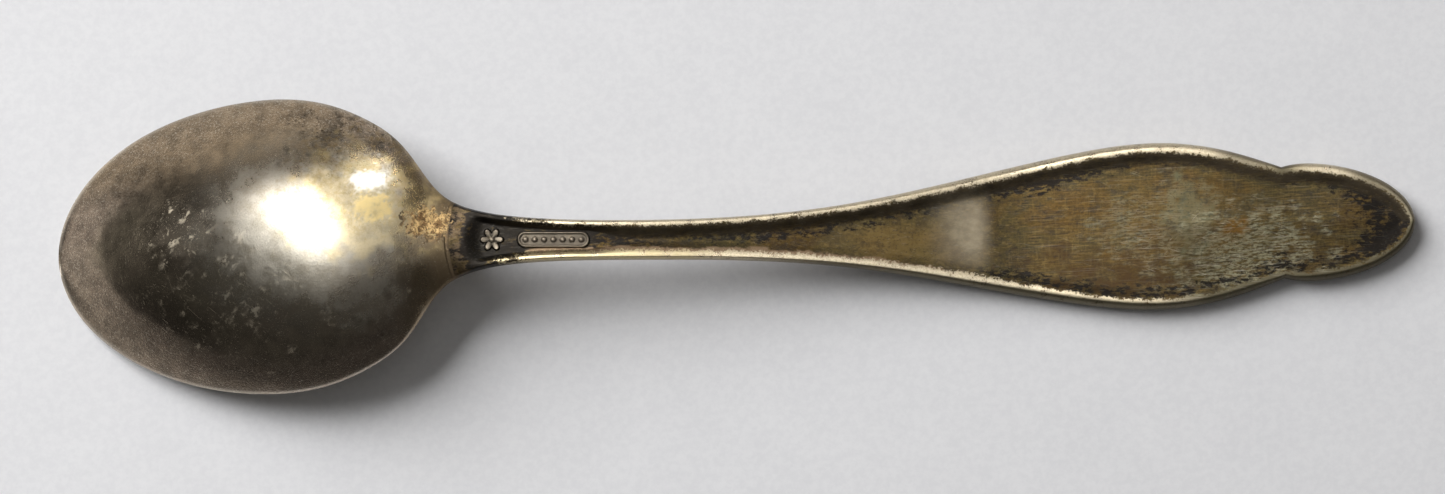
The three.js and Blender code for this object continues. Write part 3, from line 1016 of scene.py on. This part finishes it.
# Colour of the painted reflection band on the handle.
REFLECTION_BAND_GREY = (0.265, 0.222, 0.155)
RUST = (0.115, 0.060, 0.012)
NECK_BROWN = (0.105, 0.074, 0.045)
SEAM_BROWN = (0.12, 0.088, 0.054)
WALL_BROWN = (0.19, 0.130, 0.078)
WORN_SILVER = (0.66, 0.58, 0.44)
# Dark tarnish, also used as the colour of the painted shade on the bowl.
SOOT_AND_SHADE = (0.022, 0.018, 0.014)
LAMPBLACK = (0.0095, 0.0083, 0.0072)
# Colour of the painted light on the wall under the upper crest.
UPPER_WALL_LIGHT = (0.064, 0.049, 0.030)
GOLDEN = (0.44, 0.36, 0.20)
OLIVE_SIDE = (0.095, 0.082, 0.052)
SOLDER_DARK = (0.17, 0.100, 0.045)
SOLDER_LIGHT = (0.62, 0.43, 0.20)
TABLE_GREY = (0.77, 0.77, 0.79)
TABLE_PALE = (0.83, 0.83, 0.845)
ROOM_DARK = (0.078, 0.076, 0.073)
ROOM_FAR_SIDE = (0.19, 0.17, 0.145)
ROOM_PALE = (0.78, 0.75, 0.72)

# Fine scratches: turn, width, times as long as wide, shift of the noise, its low and high.
BOWL_SCRATCHES = (
    (0.5, 0.1, 34, 1, 0.70, 0.77),
    (-0.75, 0.1, 34, 5, 0.70, 0.77),
    (1.9, 0.1, 34, 8, 0.70, 0.77),
)
HANDLE_SCRATCHES = (
    (0.03, 0.08, 50, 1, 0.64, 0.72),
    (-0.35, 0.1, 18, 5, 0.7, 0.76),
    (0.8, 0.1, 12, 3, 0.74, 0.79),
)


def scratches(shader, directions):
    """Thin straight marks in several directions."""
    marks = []
    for turn, width, longer, shift, low, high in directions:
        marks.append(shader.span(shader.noise(width, 1, 0.4, longer, turn, shift), low, high))
    return shader.most(*marks)


def bowl_silver():
    """Tarnished silver: stained, polished in places, with specks, chips and fine scratches, and
    with painted shade, a painted highlight and a painted reflection.
    """
    m = Shader("bowl_silver")
    broad = m.noise(9, 3, 0.55)
    mottle = m.noise(1.6, 5, 0.62, shift=3)
    grain = m.noise(0.19, 3, 0.65, shift=9)
    clean, dark, ring, scuff = [m.paint(name) for name in ("clean", "dark", "ring", "scuff")]

    # The film of tarnish, and the silver that is polished through it.
    film = m.blend(m.span(broad, 0.35, 0.65), WARM_FILM, OLIVE_FILM)
    film = m.blend(m.times(ring, m.span(broad, 0.3, 0.7, 0.5, 1.0)), film, MAUVE_FILM)
    film = m.stain(film, "tan", 0.75, TAN_FILM)
    film = m.blend(m.span(mottle, 0.32, 0.68, 0.0, 0.42), film, SOOT_AND_SHADE)
    pale = m.times(m.span(mottle, 0.35, 0.65, 0.45, 1.0), clean)
    colour = m.blend(m.times(pale, 0.8), film, SILVER)

    # Pale specks and dark pits.
    specks = m.times(m.span(grain, 0.54, 0.68), m.plus(m.times(ring, 0.40), 0.12))
    colour = m.blend(specks, colour, SILVER)
    pits = m.plus(m.times(dark, 0.7), m.times(ring, 0.22))
    pits = m.times(m.span(grain, 0.48, 0.34), m.plus(pits, 0.16))
    colour = m.blend(pits, colour, SOOT_AND_SHADE)

    # Dark blotches, painted shade where the bowl's reflection turns dark, and the brown of the
    # neck.
    blotch = m.times(m.span(mottle, 0.44, 0.6), dark, clamp=True)
    colour = m.blend(m.times(blotch, 0.7), colour, SOOT_AND_SHADE)
    # Painted shade at the left of the bowl and inside the tarnish ring.
    colour = m.stain(colour, "shaded", 0.6, SOOT_AND_SHADE)
    colour = m.stain(colour, "browned", m.span(mottle, 0.3, 0.65, 0.95, 0.6), NECK_FILM)
    colour = m.blend(m.paint("neck"), colour, NECK_DARK)

    # Freckles, yellow stains with a painted golden reflection, the painted second highlight, and
    # copper beside the solder.
    freckle = m.span(m.noise(0.7, 5, 0.75, shift=31), 0.44, 0.66)
    colour = m.stain(colour, "freckled", freckle, FRECKLE)
    # Yellow stain and the painted golden reflection.
    colour = m.stain(colour, "gold", m.span(mottle, 0.3, 0.6, 0.6, 1.0), PALE_GOLD)
    colour = m.blend(m.paint("shine"), colour, HIGHLIGHT_WHITE)
    colour = m.stain(colour, "copper", m.span(mottle, 0.42, 0.6), COPPER)

    # Scratches, and chips where the bowl is scuffed.
    lines = scratches(m, BOWL_SCRATCHES)
    scuffed = m.times(lines, m.plus(m.times(scuff, 0.45), 0.25))
    flakes = m.span(m.noise(1.5, 5, 0.7, 1.5, 0.7, 20), 0.55, 0.66)
    slivers = m.span(m.noise(1.2, 5, 0.68, 2.6, -0.4, 25), 0.62, 0.70)
    chips = m.times(m.most(flakes, slivers), scuff)
    bright = m.most(scuffed, m.times(chips, 0.9), clamp=True)
    m.give("Base Color", m.blend(bright, colour, WORN_SILVER))

    # Chips and the rim at the tip are less metallic; worn, pitted and neck parts are rougher.
    matt = m.most(m.paint("matt"), m.times(chips, 0.8))
    m.give("Metallic", m.math("SUBTRACT", 1.0, m.times(matt, 0.6)))
    rough = m.plus(m.span(mottle, 0.3, 0.7, 0.15, 0.21), m.times(clean, 0.16))
    rough = m.plus(rough, m.times(bright, 0.22))
    rough = m.plus(rough, m.times(m.paint("neck"), 0.25))
    m.give("Roughness", m.plus(rough, m.times(pits, 0.2)))
    grit = m.bump(m.noise(0.22, 3, 0.7, shift=4), 0.014)
    m.give("Normal", m.bump(lines, -0.004, 0.5, grit))
    return m.material


def handle_silver():
    """Brown and olive patina in the recess, bright worn crests and fine lengthwise scratches, with
    a painted reflection band and painted light on the wall under the upper crest.
    """
    m = Shader("handle_silver")
    broad = m.noise(5, 3, 0.6, 1.6, shift=2)
    mottle = m.noise(1.2, 4, 0.65, 1.4, shift=6)
    grain = m.noise(0.25, 3, 0.65, shift=12)
    fleck = m.noise(0.42, 4, 0.7, 2.0, shift=41)
    stroke = m.noise(0.16, 4, 0.7, 16, 0.03, shift=7)
    across = m.noise(0.3, 3, 0.6, 9, 1.55, shift=17)
    blots = m.noise(2.6, 5, 0.7, 1.3, shift=33)
    powder = m.noise(0.26, 5, 0.75, 4, 0.05, shift=15)
    clean, dark, scuff = m.paint("clean"), m.paint("dark"), m.paint("scuff")
    brushed = m.plus(m.times(m.paint("brushed"), 0.9), 0.1)

    # Mottled patina, brushed lengthwise and a little across.
    film = m.blend(m.span(broad, 0.38, 0.62), PATINA_BROWN, PATINA_OLIVE)
    film = m.blend(m.span(mottle, 0.5, 0.72, 0.0, 0.5), film, BRUSHED)
    film = m.blend(m.span(mottle, 0.5, 0.3, 0.0, 0.6), film, SOOT_AND_SHADE)
    film = m.blend(m.span(blots, 0.50, 0.62, 0.0, 0.45), film, SOOT_AND_SHADE)
    film = m.blend(m.span(fleck, 0.50, 0.66, 0.0, 0.45), film, SOOT_AND_SHADE)
    film = m.blend(m.span(fleck, 0.46, 0.34, 0.0, 0.45), film, BRUSHED)
    film = m.blend(m.times(brushed, m.span(stroke, 0.46, 0.72, 0.0, 0.7)), film, BRUSHED)
    film = m.blend(m.times(brushed, m.span(stroke, 0.50, 0.32, 0.0, 0.6)), film, SOOT_AND_SHADE)
    film = m.blend(m.times(brushed, m.span(across, 0.50, 0.70, 0.0, 0.28)), film, BRUSHED)

    # Stains: brown at the neck, green, chalk, umber and rust on the panel.
    film = m.stain(film, "neck", m.span(mottle, 0.35, 0.6), NECK_BROWN)
    film = m.stain(film, "bare", m.span(mottle, 0.3, 0.6, 0.3, 0.7), BRUSHED)
    film = m.blend(m.times(m.span(grain, 0.46, 0.32), 0.3), film, BRUSHED)
    film = m.stain(film, "green", m.span(mottle, 0.3, 0.65, 0.25, 0.75), VERDIGRIS)
    chalk = m.times(scuff, m.span(powder, 0.42, 0.60))
    film = m.blend(m.times(chalk, 0.9), film, CHALK)
    film = m.stain(film, "umber", m.span(mottle, 0.62, 0.38, 0.15, 0.85), UMBER)
    film = m.stain(film, "gold", m.span(mottle, 0.38, 0.54), RUST)

    # Soot with broken edges, the walls of the recess with painted light on the upper one, the
    # painted reflection band and the struck marks.
    patches = m.plus(m.span(mottle, 0.38, 0.62, -0.4, 0.25), m.span(fleck, 0.38, 0.62, -0.5, 0.3))
    soot = m.broken(dark, patches, 0.15, 0.85, (0.02, 0.3))
    film = m.blend(m.times(soot, 0.95), film, LAMPBLACK)
    film = m.blend(m.times(m.span(grain, 0.54, 0.66), 0.5), film, SOOT_AND_SHADE)
    # Painted light on the shaded wall under the upper crest, over the soot.
    film = m.stain(film, "eave", m.span(mottle, 0.3, 0.7, 0.5, 1.0), UPPER_WALL_LIGHT)
    uneven = m.span(mottle, 0.3, 0.7, -0.35, 0.35)
    wall = m.broken(m.paint("wall"), uneven, 0.25, 0.75, (0.02, 0.3))
    film = m.blend(wall, film, WALL_BROWN)
    # Painted reflection band across the recess floor.
    film = m.stain(film, "rubbed", m.span(mottle, 0.35, 0.65, 0.68, 1.0), REFLECTION_BAND_GREY)
    film = m.blend(m.span(m.paint("struck"), 0.35, 0.9, 0.0, 0.5), film, WARM_FILM)

    # The crests, worn to bright silver.
    ragged = m.plus(m.span(mottle, 0.3, 0.7, -0.32, 0.26), m.span(grain, 0.3, 0.7, -0.38, 0.34))
    worn = m.broken(clean, ragged, 0.30, 0.80, (0.03, 0.2))
    crest = m.blend(m.span(grain, 0.42, 0.64, 0.0, 0.8), WORN_SILVER, WARM_FILM)
    crest = m.stain(crest, "golden", m.span(mottle, 0.3, 0.6, 0.6, 1.0), GOLDEN)
    crest = m.blend(m.paint("dull"), crest, OLIVE_SIDE)
    colour = m.blend(worn, film, crest)
    scratched = m.times(scratches(m, HANDLE_SCRATCHES), m.plus(m.times(scuff, 0.15), 0.04))
    m.give("Base Color", m.blend(scratched, colour, SILVER))

    m.give("Metallic", m.span(worn, 0, 1, 0.9, 1.0))
    rough = m.plus(m.span(worn, 0, 1, 0.42, 0.30), m.span(mottle, 0.3, 0.7, -0.05, 0.07))
    m.give("Roughness", m.plus(rough, m.times(m.paint("dull"), 0.2)))
    grit = m.bump(m.noise(0.2, 3, 0.7, 2, shift=4), 0.016)
    m.give("Normal", m.bump(m.times(stroke, brushed), 0.008, 0.6, grit))
    return m.material


def solder_metal():
    """Coppery silver solder, matt and pitted, browned where it only fills the seam."""
    m = Shader("solder")
    mottle = m.noise(0.7, 4, 0.7, shift=1)
    pit = m.noise(0.22, 3, 0.7, shift=8)
    colour = m.blend(m.span(mottle, 0.43, 0.58), SOLDER_DARK, SOLDER_LIGHT)
    colour = m.blend(m.times(m.span(pit, 0.50, 0.62), 0.7), colour, SOOT_AND_SHADE)
    colour = m.blend(m.paint("copper"), SEAM_BROWN, colour)
    m.give("Base Color", colour)
    m.give("Metallic", 1.0)
    m.give("Roughness", m.span(mottle, 0.3, 0.7, 0.42, 0.6))
    m.give("Normal", m.bump(pit, 0.05))
    return m.material


# ------------------------------------------------------------ floor and lights

FLOOR_HALF_SIZE = 4000

# Name, direction from the spoon, distance and size in metres, power in watts.
SHADOW_LIGHTS = (
    ("window", (-0.60, 0.53, 0.60), 1.0, (0.70, 0.70), 14.2),
    ("fill", (0.1, 0.2, 1.0), 0.7, (0.5, 0.5), 0.1),
)
REFLECTED_LIGHTS = (
    ("softbox", (-0.20, 0.325, 0.92), 0.5, (0.17, 0.38), 2.3),
    ("glow", (0.02, 0.01, 0.99), 0.5, (0.54, 0.48), 0.40),
    ("far_glow", (0.32, 0.28, 0.90), 0.5, (0.36, 0.42), 0.27),
    ("far_window", (0.37, 0.77, 0.52), 0.5, (0.07, 0.05), 0.22),
)


def make_floor():
    """A plain pale table, level with the spoon's lowest point in CAD."""
    mesh = bpy.data.meshes.new("floor")
    half = FLOOR_HALF_SIZE
    corners = [(-half, -half), (half, -half), (half, half), (-half, half)]
    corners = [(x * MM, y * MM, LOW[2] * MM) for x, y in corners]
    mesh.from_pydata(corners, [], [(0, 1, 2, 3)])
    floor = bpy.data.objects.new("floor", mesh)
    bpy.context.collection.objects.link(floor)
    m = Shader("table")
    speckle = m.span(m.noise(0.7, 3, 0.6, shift=2), 0.3, 0.7, -0.35, 0.35)
    tone = m.plus(m.noise(9, 4, 0.6), speckle)
    m.give("Base Color", m.blend(tone, TABLE_GREY, TABLE_PALE))
    m.give("Roughness", 0.9)
    mesh.materials.append(m.material)


def area_light(name, towards, distance, size, power, diffuse):
    """A soft light facing the spoon, which only lights it or only shows in reflections."""
    light = bpy.data.lights.new(name, "AREA")
    light.shape = "RECTANGLE"
    light.size, light.size_y = size
    light.energy = power
    lamp = bpy.data.objects.new(name, light)
    direction = Vector(towards).normalized()
    lamp.location = direction * distance
    lamp.rotation_mode = "QUATERNION"
    lamp.rotation_quaternion = direction.to_track_quat("Z", "Y")
    lamp.visible_camera = False
    lamp.visible_diffuse = diffuse
    lamp.visible_glossy = not diffuse
    bpy.context.collection.objects.link(lamp)


def make_lights():
    for light in SHADOW_LIGHTS:
        area_light(*light, diffuse=True)
    for light in REFLECTED_LIGHTS:
        area_light(*light, diffuse=False)


def make_world():
    """A dark room above, with pale surroundings near the horizon on the far and left sides."""
    world = bpy.data.worlds.new("room")
    bpy.context.scene.world = world
    world.use_nodes = True
    w = Nodes(world.node_tree)
    direction = w.node("ShaderNodeTexCoord").outputs["Generated"]
    near_horizon = w.span(w.dot(direction, (0.16, -0.16, 1)), 0.10, 0.15, 1, 0)
    pale_side = w.span(w.dot(direction, (-0.75, 0.66, 0)), -0.5, 0.45, 0.2, 1)
    far_side = w.span(w.dot(direction, (0.3, 0.88, 0.35)), 0.75, 0.98)
    room = w.blend(far_side, ROOM_DARK, ROOM_FAR_SIDE)
    tone = w.blend(w.times(near_horizon, pale_side), room, ROOM_PALE)
    w.wire(tone, world.node_tree.nodes["Background"].inputs["Color"])


def make_camera():
    """Almost straight above, leaning a little towards the viewer, the spoon rising to the right."""
    lens, distance = 104, 447.9
    aim = np.array([71.5 - LENGTH / 2, -1.41, 2.0])
    elevation, turn = math.radians(86.5), math.radians(1.61)
    level = -math.cos(elevation)
    back = Vector((level * math.sin(turn), level * math.cos(turn), math.sin(elevation)))
    data = bpy.data.cameras.new("camera")
    data.lens, data.sensor_width = lens, 36
    data.clip_start, data.clip_end = 0.01, 20
    camera = bpy.data.objects.new("camera", data)
    camera.location = Vector(aim * MM) + back * distance * MM
    camera.rotation_mode = "QUATERNION"
    camera.rotation_quaternion = back.to_track_quat("Z", "Y")
    bpy.context.collection.objects.link(camera)
    bpy.context.scene.camera = camera


# ------------------------------------------------------------------------ build

for piece, material in (
    (make_bowl(), bowl_silver()),
    (make_handle(), handle_silver()),
    (make_solder(), solder_metal()),
):
    piece.data.materials.append(material)
    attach(piece, "root")

make_floor()
make_lights()
make_world()
make_camera()
bpy.context.scene.view_settings.view_transform = "Standard"
